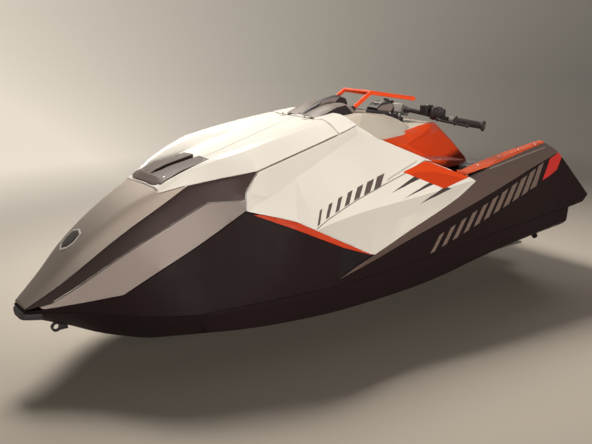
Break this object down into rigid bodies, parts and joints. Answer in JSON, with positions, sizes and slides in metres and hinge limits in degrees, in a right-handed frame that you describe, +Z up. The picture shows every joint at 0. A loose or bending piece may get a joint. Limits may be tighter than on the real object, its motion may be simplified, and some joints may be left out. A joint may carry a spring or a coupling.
{
  "type": "sport personal watercraft",
  "caption": "Sport personal watercraft: faceted V hull and deck panels, opening front hatch, saddle, handlebar steering and a jet pump with a steered nozzle.",
  "frame": {"origin": "on the water surface at mid-length, on the centre plane, with the craft at rest", "axes": "+X forward to the bow, +Y to port, +Z up"},
  "size_m": [2.89, 1.1372, 0.9968],
  "materials": {
    "hull_black": "gloss gelcoat",
    "body_white": "gloss gelcoat",
    "deck_white": "gelcoat",
    "nose_silver": "satin metallic paint",
    "flank_grey": "satin metallic paint",
    "stripe_dark": "satin metallic paint",
    "band_grey": "satin metallic paint",
    "trim_dark": "moulded, satin",
    "console_grey": "satin",
    "orange": "gloss",
    "rubber": "moulded",
    "mat": "ribbed foam",
    "seat": "marine vinyl",
    "metal": "anodised",
    "steel": "polished",
    "engine": "plain"
  },
  "bodies": {
    "craft": {"accent_strip_left": "orange", "accent_strip_right": "orange", "bow_bumper": "rubber", "bow_eye": "steel", "bow_flank_left": "flank_grey", "bow_flank_right": "flank_grey", "cockpit_floor": "hull_black", "console": "console_grey", "dash_display": "trim_dark", "dash_pod": "trim_dark", "engine": "engine", "foot_mat_left": "mat", "foot_mat_right": "mat", "foredeck": "deck_white", "guard_hoop": "orange", "gunwale_band_left": "band_grey", "gunwale_band_right": "band_grey", "gunwale_left": "hull_black", "gunwale_rail_left": "orange", "gunwale_rail_right": "orange", "gunwale_right": "hull_black", "hatch_hinges": "steel", "hood_cowl": "body_white", "hull": "hull_black", "intake_grate": "metal", "knee_fairing": "orange", "nose_cowl": "nose_silver", "nose_stripe_left": "stripe_dark", "nose_stripe_right": "stripe_dark", "pump_housing": "metal", "rear_mat": "mat", "ride_plate": "metal", "saddle_cushion": "seat", "saddle_pan": "trim_dark", "saddle_plinth": "hull_black", "side_insert_left": "orange", "side_insert_right": "orange", "side_panel_left": "body_white", "side_panel_right": "body_white", "steering_bearing": "trim_dark", "stern_eye_left": "steel", "stern_eye_right": "steel", "topside_left": "hull_black", "topside_right": "hull_black"},
    "hatch": {"front_hatch": "body_white", "air_scoop": "trim_dark"},
    "steering": {"brake_lever_left": "metal", "grip_left": "rubber", "grip_right": "rubber", "handlebar": "trim_dark", "steering_column": "metal", "switch_pod_left": "trim_dark", "throttle_lever_right": "metal", "throttle_pod_right": "trim_dark"},
    "impeller": {"impeller": "steel"},
    "nozzle": {"steering_nozzle": "metal"}
  },
  "joints": [
    {"name": "hatch_hinge", "type": "hinge", "parent": "craft", "child": "hatch", "pos_m": [0.126, 0, 0.667], "axis": [0, -1, 0], "range_deg": [0, 62]},
    {"name": "handlebar_steering", "type": "hinge", "parent": "craft", "child": "steering", "pos_m": [-0.5, 0, 0.641], "axis": [-0.4067, 0, 0.9135], "range_deg": [-30, 30]},
    {"name": "nozzle_steering", "type": "hinge", "parent": "craft", "child": "nozzle", "pos_m": [-1.338, 0, -0.059], "axis": [0, 0, 1], "range_deg": [-21, 21]},
    {"name": "impeller_spin", "type": "hinge", "parent": "craft", "child": "impeller", "pos_m": [-1.2, 0, -0.059], "axis": [1, 0, 0], "continuous": true}
  ],
  "couplings": [
    {"joint": "nozzle_steering", "follows": "handlebar_steering", "ratio": -0.7}
  ]
}
